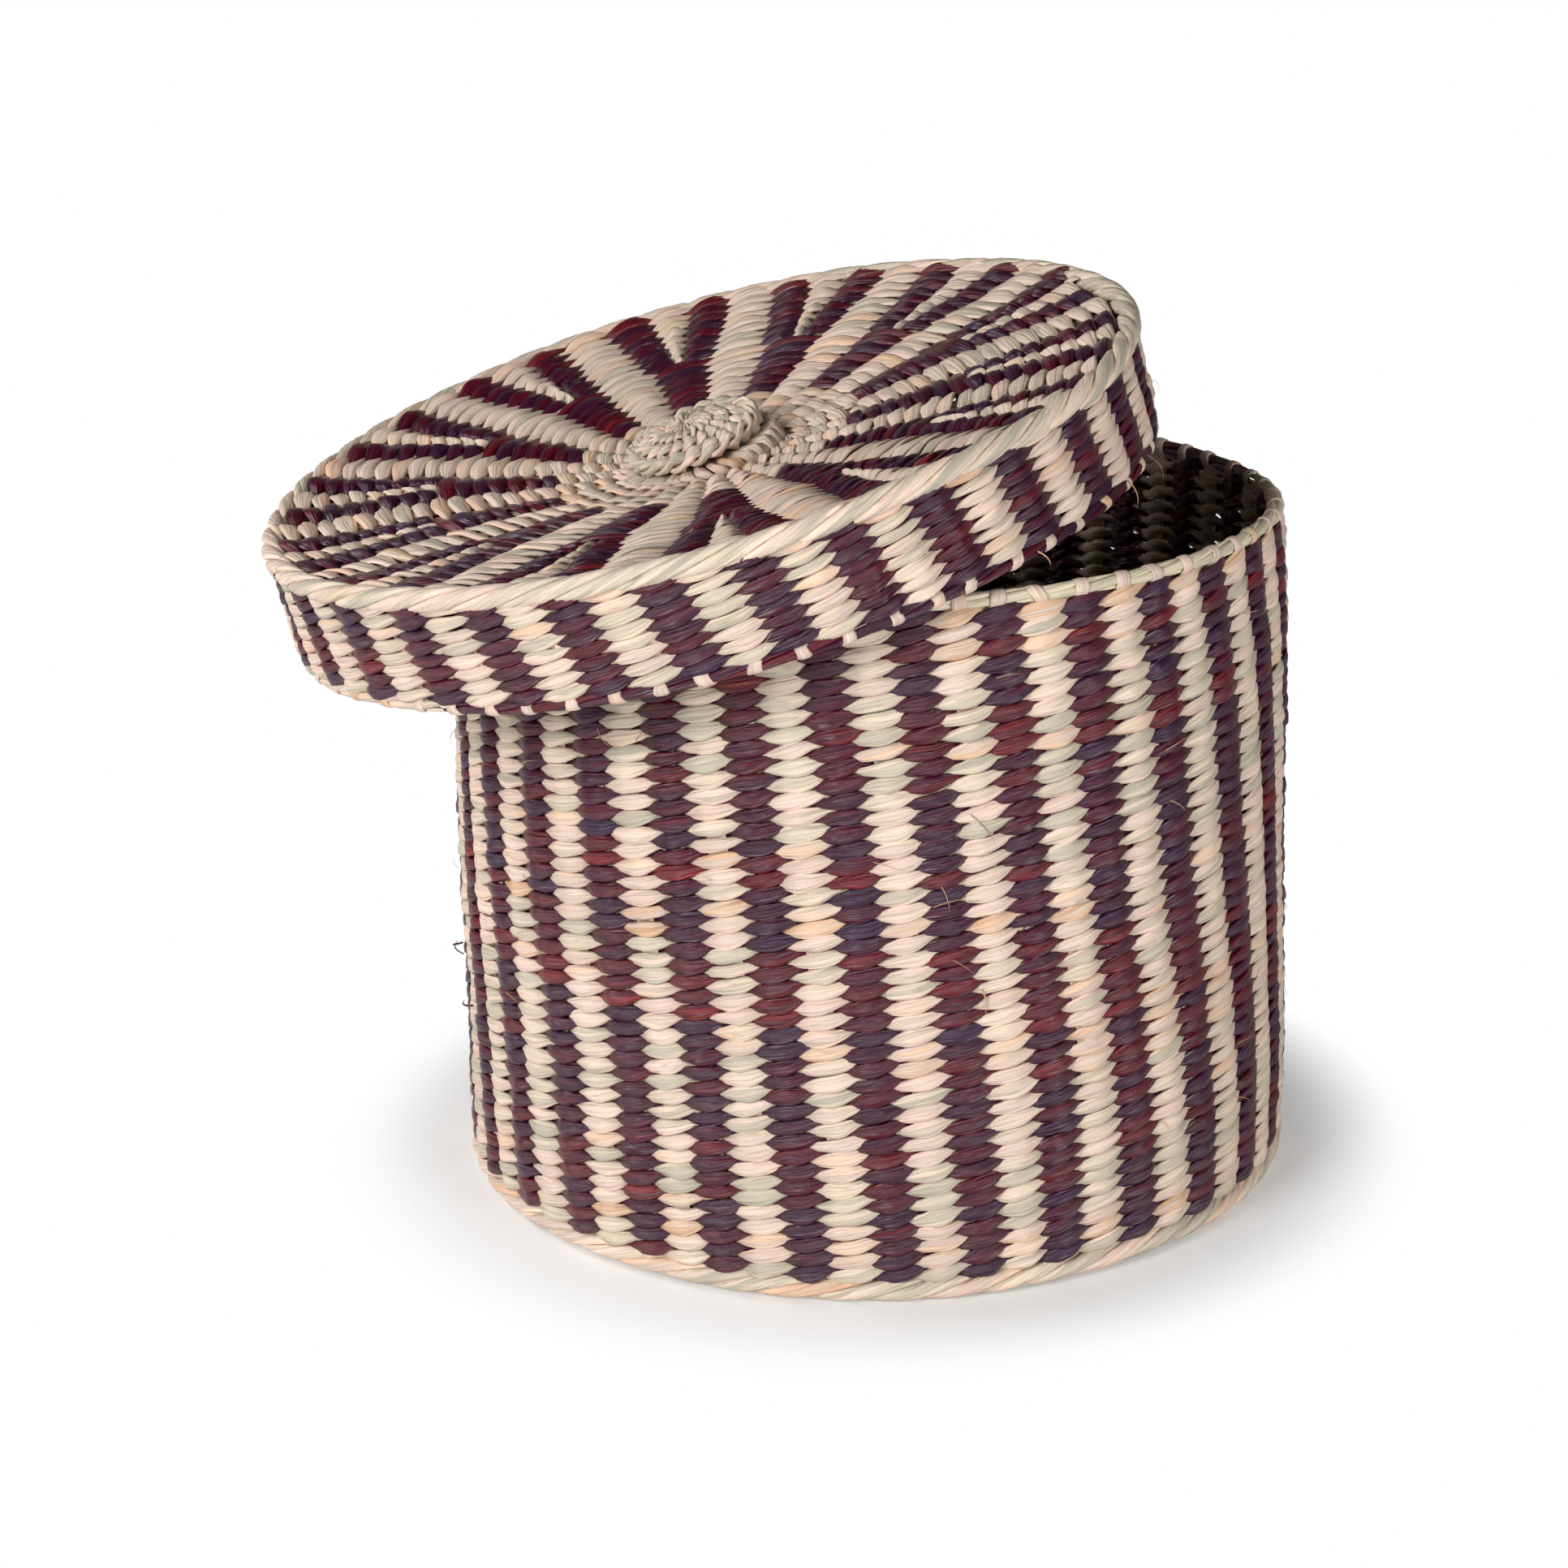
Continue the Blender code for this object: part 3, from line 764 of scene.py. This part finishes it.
def staked(name, body, profile, stakes, rings, *replaced, slot="stake", **changes):
    """A ring of flat splints along a profile, as one piece."""
    length = sum(math.dist(a, b) for a, b in zip(profile, profile[1:]))
    settings = {
        "Stakes": stakes, "Rings": rings, "Sides": 6, "Turned": 0.0, "Lean": 0.0,
        "Crowding": CROWDING, "Gather": 0.0, "Width": STAKE_WIDTH, "Thickness": STAKE_THICKNESS,
        "Unevenness": 0.16, "Stitch length": length, "Seed": SEEDS[body] + 300.0,
        "Material": MATERIALS[slot],
    }
    settings.update(changes)
    return fitted(name, grown(name, staking, profile, settings), body, slot, *replaced)


def rounded(points, passes=2):
    """A profile line with its corners cut, so that a splint bends and doesn't crease."""
    for _ in range(passes):
        cut = [points[0]]
        for (r0, z0), (r1, z1) in zip(points, points[1:]):
            cut.append((0.75 * r0 + 0.25 * r1, 0.75 * z0 + 0.25 * z1))
            cut.append((0.25 * r0 + 0.75 * r1, 0.25 * z0 + 0.75 * z1))
        cut.append(points[-1])
        points = cut
    return points


staking = stake_tree()
staked(
    "body_stakes_wall", "basket", wall_line, WALL_STAKES, WALL_RINGS, "body_stakes",
    Lean=WALL_LEAN, Turned=WALL_TURNED,
)
turn_up = rounded([
    (SPLIT_RADIUS, BASE_HEIGHT), (BASE_EDGE - 0.0015, BASE_HEIGHT), (BASE_EDGE, 0.0050),
    (wall_middle(FOOT_CORD), FOOT_CORD + 0.0020),
])
staked(
    "body_stakes_foot", "basket", turn_up, WALL_STAKES, FOOT_RINGS, "body_stakes",
    Turned=WALL_TURNED,
)
flat = [(0.0008, BASE_HEIGHT), (SPLIT_RADIUS + 0.004, BASE_HEIGHT)]
staked("body_stakes_base", "basket", flat, CENTRE_STAKES, BASE_RINGS, "body_stakes")

# Mouth cord. Thin straw laid along the mouth, dark for a stretch at the back, with the end of
# every stake folded over it from inside and tucked into the first rows.
WRAP_WIDTH = 0.0035
WRAP_THICKNESS = 0.0006
DARK_MOUTH = (math.radians(9.0), math.radians(75.0))
MOUTH_TWISTS = 20
LAPPED = 0.3
FOLD_POINTS = 9
WRAP_RINGS = 18
RAGGED = 0.30
REED_HUES = (
    (0.00, (0.660, 0.610, 0.430)),
    (0.60, (0.780, 0.680, 0.500)),
    (1.00, (0.840, 0.680, 0.500)),
)

MATERIALS["reed"] = fibre("green_reed", REED_HUES, STRAW_LINE, roughness=0.42, shine=0.40)
mouth_ring = (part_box("mouth_cord")[1].x - MOUTH_CORD / 2.0, BODY_HEIGHT - MOUTH_CORD / 2.0)
dark_from, dark_to = (angle / (2.0 * math.pi) * MOUTH_TWISTS for angle in DARK_MOUTH)
corded(
    "mouth_cord_straw", "basket", mouth_ring, MOUTH_CORD, MOUTH_TWISTS, "natural_strand",
    "mouth_cord", Material=MATERIALS["reed"], First=dark_to - LAPPED,
    Stitches=MOUTH_TWISTS - dark_to + dark_from + 2.0 * LAPPED, Steps=12,
)
corded(
    "mouth_cord_dark", "basket", mouth_ring, MOUTH_CORD, MOUTH_TWISTS, "dyed_strand",
    "mouth_cord", First=dark_from, Stitches=dark_to - dark_from, Steps=12,
)


def folded_over(ring, reach, angles, below, above):
    """Path of a stake's end: from below a cord, round its section, and back above that start."""
    turns = np.linspace(*(math.radians(angle) for angle in angles), FOLD_POINTS).tolist()
    path = [(ring[0] + reach * math.cos(turn), ring[1] + reach * math.sin(turn)) for turn in turns]
    return [below, *path, above]


over_mouth = folded_over(
    mouth_ring, MOUTH_CORD / 2.0 + WRAP_THICKNESS * 0.15, (200.0, -12.0),
    (mouth_ring[0] - 0.0004, BODY_HEIGHT - 0.0062), (mouth_ring[0] - 0.0006, BODY_HEIGHT - 0.0052),
)
staked(
    "mouth_wraps", "basket", over_mouth, WALL_STAKES, WRAP_RINGS, "body_stakes", "mouth_cord",
    Width=WRAP_WIDTH, Thickness=WRAP_THICKNESS, Turned=WALL_TURNED + WALL_LEAN, Sides=8,
    Unevenness=RAGGED,
)

# Lid top. The lid is made like the base and lies tilted on the mouth. Its top is a shallow
# funnel, drawn down where the knob is sewn in, with a straw middle and stripes that split.
LID_TOP_THICKNESS = 0.0042
LID_DISH = 0.0090
LID_FUNNEL_SHARE = 0.70
LID_OUTER_ROWS = 8
LID_INNER_ROWS = 7
LID_ROSETTE_ROWS = 4
RIDGE_RADIUS = 0.0998
RIDGE_CORD = 0.0055
FIT_GAP = 0.0003
TOP_EDGE = RIDGE_RADIUS - RIDGE_CORD / 2.0 - FIT_GAP

ridge_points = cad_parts["ridge_cord"].data.vertices
ring = np.empty(len(ridge_points) * 3)
ridge_points.foreach_get("co", ring)
ring = ring.reshape(-1, 3)
lid_centre = ring.mean(axis=0)
lid_normal = Vector(np.linalg.svd(ring - lid_centre, full_matrices=False)[2][2].tolist())
if lid_normal.z < 0.0:
    lid_normal.negate()
lid_turn = Vector((0.0, 0.0, 1.0)).rotation_difference(lid_normal).to_matrix().to_4x4()
lid_seat = Matrix.Translation(lid_centre.tolist()) @ lid_turn


def lid_surface(radius):
    """Height of the lid's upper face over the ridge's plane, at a distance from its middle."""
    share = radius / TOP_EDGE
    funnel = (1.0 + math.cos(math.pi * share)) / 2.0
    return -LID_DISH * (LID_FUNNEL_SHARE * funnel + (1.0 - LID_FUNNEL_SHARE) * (1.0 - share))


def lid_line(first, last, points):
    """Profile line in the middle of the lid's top, from one radius to another."""
    radii = np.linspace(first, last, points).tolist()
    return [(radius, lid_surface(radius) - LID_TOP_THICKNESS / 2.0) for radius in radii]


RIM_SWELL = 0.0020
RIM_SHARPNESS = 4
UNDER_RIDGE = 0.0013
outer_line = []
for radius, height in lid_line(TOP_EDGE + UNDER_RIDGE, SPLIT_RADIUS, points=9):
    outwards = (radius - SPLIT_RADIUS) / (TOP_EDGE - SPLIT_RADIUS)
    outer_line.append((radius, height + RIM_SWELL * outwards ** RIM_SHARPNESS))
twined(
    "lid_outer", "lid", outer_line, DISC_STAKES, LID_OUTER_ROWS, STRIPES, "lid_top_weave", **DISC,
    Turned=STRIPE_TURNED, Gather=GATHER,
)
inner_line = lid_line(SPLIT_RADIUS, ROSETTE_RADIUS, points=7)
twined(
    "lid_inner", "lid", inner_line, CENTRE_STAKES, LID_INNER_ROWS, STRIPES, "lid_top_weave",
    **DISC, Turned=INNER_TURNED, Steps=10,
)
rosette_line = lid_line(ROSETTE_RADIUS, PLEAT_RADIUS - 0.001, points=5)
twined(
    "lid_rosette", "lid", rosette_line, CENTRE_STAKES, LID_ROSETTE_ROWS, PLAIN, "lid_rosette",
    **DISC, Turned=INNER_TURNED,
)

# Ridge cord. A bold three-strand straw twist that finishes the lid's top edge. It is laid on
# where the stakes bend down into the skirt, and the rows on both sides end against it.
RIDGE_SUNK = 0.0002
corded(
    "ridge_cord_twist", "lid", (RIDGE_RADIUS, -RIDGE_SUNK), RIDGE_CORD, CORD_TWISTS,
    "natural_strand", "ridge_cord",
)

# Skirt. Eight twined rows of the same two strands, drawn tighter than on the wall. They run from
# under the ridge cord down to the hem.
SKIRT_STAKES = 60
SKIRT_ROWS = 8
LID_DEPTH = 0.0260
LID_WALL = 0.0043
HEM_RADIUS = 0.1022
HEM_CORD = 0.0032
SKIRT_TOP = 0.10195
SKIRT_LEAN = math.radians(-3.4)


def skirt_middle(height):
    """Radius of the middle of the skirt's thickness, from 0 at the ridge down to the hem."""
    return SKIRT_TOP + (HEM_RADIUS - SKIRT_TOP) * -height / LID_DEPTH - LID_WALL / 2.0


skirt_line = [(skirt_middle(height), height) for height in (-0.0240, -0.0128, -0.0015)]
SKIRT = {"Face width": 0.0032, "Edge width": 0.0009, "Rise": 0.00076, "Thickness": 0.0012}
twined(
    "skirt", "lid", skirt_line, SKIRT_STAKES, SKIRT_ROWS, STRIPES, "skirt_weave", **SKIRT,
    Lean=SKIRT_LEAN,
)

# Lid stakes. They run out under the top, turn down at the ridge inside the skirt, and each end is
# folded over the hem cord.
LID_CENTRE_RINGS = 30
LID_TOP_RINGS = 12
SKIRT_RINGS = 16
centre_line = lid_line(0.0100, SPLIT_RADIUS, points=9)
staked(
    "lid_stakes_centre", "lid", centre_line, CENTRE_STAKES, LID_CENTRE_RINGS, "lid_stakes",
    Turned=INNER_TURNED, Crowding=0.0,
)
top_line = lid_line(TOP_EDGE - 0.0015, SPLIT_RADIUS - 0.003, points=5)
staked(
    "lid_stakes_top", "lid", top_line, DISC_STAKES, LID_TOP_RINGS, "lid_stakes",
    Turned=STRIPE_TURNED, Gather=GATHER, Crowding=0.0,
)
turn_down = rounded([
    (TOP_EDGE - 0.0030, -0.0030), (skirt_middle(-0.0030), -0.0040), (skirt_middle(-0.0235), -0.0235),
])
staked("lid_stakes_skirt", "lid", turn_down, SKIRT_STAKES, SKIRT_RINGS, "lid_stakes")

# Hem cord. A thin twist along the lower edge of the skirt, dark but for a straw stretch on the
# left. The end of every stake is folded over it and tucked in inside.
hem_ring = (HEM_RADIUS - LID_WALL / 2.0, HEM_CORD / 2.0 - LID_DEPTH)
STRAW_HEM = (math.radians(120.0), math.radians(232.0))
HEM_TWISTS = 24
straw_from, straw_to = (angle / (2.0 * math.pi) * HEM_TWISTS for angle in STRAW_HEM)
corded(
    "hem_cord_straw", "lid", hem_ring, HEM_CORD, HEM_TWISTS, "natural_strand", "hem_cord",
    First=straw_from - LAPPED, Stitches=straw_to - straw_from + 2.0 * LAPPED, Steps=10,
)
corded(
    "hem_cord_dark", "lid", hem_ring, HEM_CORD, HEM_TWISTS, "dyed_strand", "hem_cord",
    First=straw_to, Stitches=HEM_TWISTS - straw_to + straw_from, Steps=10,
)
TUCK = 0.0034
HEM_WRAP_WIDTH = 0.0031
over_hem = folded_over(
    hem_ring, HEM_CORD / 2.0 - 0.0001, (160.0, 372.0),
    (hem_ring[0] - 0.0004, hem_ring[1] + TUCK), (hem_ring[0] - 0.0006, hem_ring[1] + TUCK),
)
staked(
    "hem_wraps", "lid", over_hem, SKIRT_STAKES, WRAP_RINGS, "lid_stakes", "hem_cord",
    Width=HEM_WRAP_WIDTH, Thickness=WRAP_THICKNESS, Sides=8, Unevenness=RAGGED,
)

# Knob. A small straw disc twined in a spiral and domed, on a gathered stem that goes down through
# the lid. A ring of strand holds the stem's neck underneath.
KNOB_RADIUS = 0.0166
KNOB_HEIGHT = 0.0058
KNOB_ROUNDNESS = 2.4
KNOB_EDGE = 0.0014
KNOB_HOLLOW = 0.0022
STEM_HEIGHT = 0.0036
KNOB_STAKES = 20
KNOB_ROWS = 5
knob_floor = lid_surface(0.0) + FIT_GAP
knob_seat = knob_floor + STEM_HEIGHT + FIT_GAP
knob_edge = knob_seat - KNOB_HOLLOW
KNOB_SUNK = 0.0014
KNOB_TIP = math.radians(8.0)
KNOB_LIFT = 0.0014
KNOB_AWAY = (-0.0028, 0.0004)
KNOB_TIP_AXIS = Vector((0.45, -0.89, 0.0))

knob_tip = (
    Matrix.Translation((*KNOB_AWAY, knob_seat + KNOB_LIFT))
    @ Matrix.Rotation(KNOB_TIP, 4, KNOB_TIP_AXIS)
    @ Matrix.Translation((0.0, 0.0, -knob_seat))
)


def tipped(mesh, low, high):
    """Tip a mesh with the knob, fully above one height and not at all below another."""
    for vertex in mesh.vertices:
        share = min(max((vertex.co.z - low) / (high - low), 0.0), 1.0)
        vertex.co = vertex.co.lerp(knob_tip @ vertex.co, share)
    return mesh


under_rim = [
    (KNOB_RADIUS - 0.0045, knob_edge + 0.0018), (KNOB_RADIUS - 0.0012, knob_edge + 0.0012),
    (KNOB_RADIUS - 0.0009, knob_edge + 0.0024),
]
dome = []
for share in (0.86, 0.74, 0.60, 0.44, 0.28, 0.12, 0.02):
    rise = KNOB_EDGE + (KNOB_HEIGHT - KNOB_EDGE) * (1.0 - share ** KNOB_ROUNDNESS)
    dome.append((share * KNOB_RADIUS, knob_edge + rise - KNOB_SUNK))
settings = {
    **TWINING, "Stakes": KNOB_STAKES, "Rows": float(KNOB_ROWS), "First": 0.0,
    "Stitches": float(KNOB_STAKES * KNOB_ROWS), "Crowding": 0.0, "Depth": 0.0009,
    "Thickness": 0.0014, "Rise": 0.0009, "Steps": 8, "Turned": 0.4, "Face width": 0.0043,
    "Edge width": 0.0012, "Stitch length": 0.007, "Material": straw,
}
for side, label in enumerate(("first", "second")):
    settings.update({"Phase": float(side), "Seed": 260.0 + 40.0 * side})
    name = f"knob_cap_{label}"
    mesh = grown(name, twining, rounded(under_rim + dome, 1), settings)
    mesh = tipped(mesh, knob_floor, knob_edge)
    fitted(name, mesh, "lid", "natural_strand", "knob_cap")

gathered_stem = rounded([
    (0.0145, knob_edge + 0.0014), (0.0085, knob_seat), (0.0062, knob_floor + 0.0020),
    (0.0085, knob_floor + 0.0002), (PLEAT_RADIUS, lid_surface(PLEAT_RADIUS) - 0.0002),
])
PLEATS = {
    "Stakes": 30, "Rings": 26, "Sides": 6, "Turned": 0.0, "Lean": 0.35, "Crowding": 0.0,
    "Gather": 0.0, "Width": 0.0040, "Thickness": 0.0016, "Unevenness": 0.30,
    "Stitch length": 0.02, "Seed": 560.0, "Material": straw,
}
mesh = tipped(grown("knob_stem_pleats", staking, gathered_stem, PLEATS), knob_floor, knob_edge)
fitted("knob_stem_pleats", mesh, "lid", "natural_strand", "knob_stem")
neck = [
    (0.0015, knob_floor + 0.0010), (0.0028, -0.0110), (0.0030, -0.0150), (0.0016, -0.0162),
    (0.0003, -0.0164),
]
NECK_STRANDS = 10
NECK_RINGS = 16
staked(
    "knob_neck", "lid", neck, NECK_STRANDS, NECK_RINGS, "knob_stem", slot="natural_strand",
    Crowding=0.0, Width=0.0026, Thickness=0.0012,
)
TIE_THICKNESS = 0.0026
TIE_RING = (0.0061, -LID_DISH - LID_TOP_THICKNESS - 0.0015)
TIE_TWISTS = 10
corded(
    "knob_tie_ring", "lid", TIE_RING, TIE_THICKNESS, TIE_TWISTS, "natural_strand", "knob_tie",
    strands=2,
)

# Loose fibres. Hairs and torn blade ends stand out of the rows. The longer ones lie where the
# photograph shows them, on the front and by the hem, and the rest are spread at random.
HAIR_RINGS = 10
HAIR_SIDES = 5
HAIR_BEND = 0.25
HAIR_ARCH = 2.6
HAIR_TAPER = 0.85
WALL_HAIRS = (
    (-81.5, 0.0980, -60.0, 0.0060, 0.0006, 0.00012),
    (-82.5, 0.0935, 28.0, 0.0070, 0.0008, 0.00012),
    (-81.0, 0.0820, -20.0, 0.0070, 0.0006, 0.00010),
    (-76.5, 0.0740, -70.0, 0.0055, 0.0006, 0.00020),
    (-33.0, 0.1200, 35.0, 0.0060, 0.0024, 0.00016),
    (-33.8, 0.1185, 70.0, 0.0045, 0.0020, 0.00014),
    (-32.5, 0.1440, 10.0, 0.0060, 0.0016, 0.00010),
)
DARK_WALL_HAIRS = (
    (-77.8, 0.1135, -38.0, 0.0085, 0.0006, 0.00009),
    (-172.0, 0.0545, 215.0, 0.0050, 0.0022, 0.00030),
    (-170.0, 0.0530, 160.0, 0.0040, 0.0018, 0.00022),
    (-162.0, 0.0450, 200.0, 0.0055, 0.0016, 0.00030),
    (-118.0, 0.1210, 20.0, 0.0060, 0.0006, 0.00014),
)
HEM_HAIRS = (
    (-18.0, -0.0235, -55.0, 0.0090, 0.0020, 0.00008),
    (-26.0, -0.0240, -75.0, 0.0060, 0.0010, 0.00018),
    (-3.0, -0.0150, -30.0, 0.0080, 0.0020, 0.00006),
    (-47.0, -0.0240, -50.0, 0.0045, 0.0010, 0.00020),
)
HAIR_HUES = ((0.00, (0.420, 0.240, 0.120)), (1.00, (0.700, 0.450, 0.280)))
MATERIALS["hair"] = fibre("tan_hair", HAIR_HUES, STRAW_LINE, roughness=0.50, shine=0.40)
HAIR_HEADINGS = (-60.0, 60.0)
HAIR_LENGTHS = (0.003, 0.008)
HAIR_LIFTS = (0.0004, 0.0014)
HAIR_THICKNESSES = (0.00005, 0.00012)
draw = random.Random(5)


def scattered(count, low, high):
    """Roots of short hairs at random places between two heights."""
    return [
        (
            draw.uniform(-180.0, 180.0), draw.uniform(low, high), draw.uniform(*HAIR_HEADINGS),
            draw.uniform(*HAIR_LENGTHS), draw.uniform(*HAIR_LIFTS),
            draw.uniform(*HAIR_THICKNESSES),
        )
        for _ in range(count)
    ]


def hairs(name, body, roots, surface, slot, *replaced):
    """Thin tapered fibres as one piece: azimuth, height, heading, length, lift and thickness."""
    points, faces = [], []
    for azimuth, height, heading, length, lift, thick in roots:
        angle, slant = math.radians(azimuth), math.radians(heading)
        outward = Vector((math.cos(angle), math.sin(angle), 0.0))
        along = Vector((-outward.y, outward.x, 0.0)) * math.cos(slant)
        along.z = math.sin(slant)
        across = along.cross(outward)
        root = outward * surface(height) + Vector((0.0, 0.0, height))
        base = len(points)
        for ring in range(HAIR_RINGS):
            share = ring / (HAIR_RINGS - 1)
            centre = root + outward * lift * math.sin(share * HAIR_ARCH) + along * length * share
            centre += across * length * HAIR_BEND * share ** 2
            reach = thick * (1.0 - HAIR_TAPER * share ** 2)
            for corner in range(HAIR_SIDES):
                turn = 2.0 * math.pi * corner / HAIR_SIDES
                points.append(centre + (outward * math.cos(turn) + across * math.sin(turn)) * reach)
        for ring in range(HAIR_RINGS - 1):
            low = base + ring * HAIR_SIDES
            high = low + HAIR_SIDES
            for corner in range(HAIR_SIDES):
                after = (corner + 1) % HAIR_SIDES
                faces.append((low + corner, low + after, high + after, high + corner))
        faces.append([base + corner for corner in reversed(range(HAIR_SIDES))])
        faces.append([len(points) - HAIR_SIDES + corner for corner in range(HAIR_SIDES)])
    mesh = bpy.data.meshes.new(name)
    mesh.from_pydata(points, [], faces)
    mesh.materials.append(MATERIALS["hair" if slot == "natural_strand" else slot])
    mesh.shade_smooth()
    return fitted(name, mesh, body, slot, *replaced)


WALL_REACH = 0.0019
SKIRT_REACH = 0.0017


def wall_face(height):
    """Radius of the outer face of the wall's strands."""
    return wall_middle(height) + WALL_REACH


def skirt_face(height):
    """Radius of the outer face of the skirt's strands."""
    return skirt_middle(height) + SKIRT_REACH


hairs(
    "wall_hairs_straw", "basket", [*WALL_HAIRS, *scattered(30, low=0.010, high=0.150)], wall_face,
    "natural_strand", "wall_weave",
)
hairs(
    "wall_hairs_dyed", "basket", [*DARK_WALL_HAIRS, *scattered(16, low=0.010, high=0.150)], wall_face,
    "dyed_strand", "wall_weave",
)
hairs(
    "skirt_hairs_straw", "lid", [*HEM_HAIRS, *scattered(12, low=-0.024, high=-0.004)], skirt_face,
    "natural_strand", "skirt_weave",
)
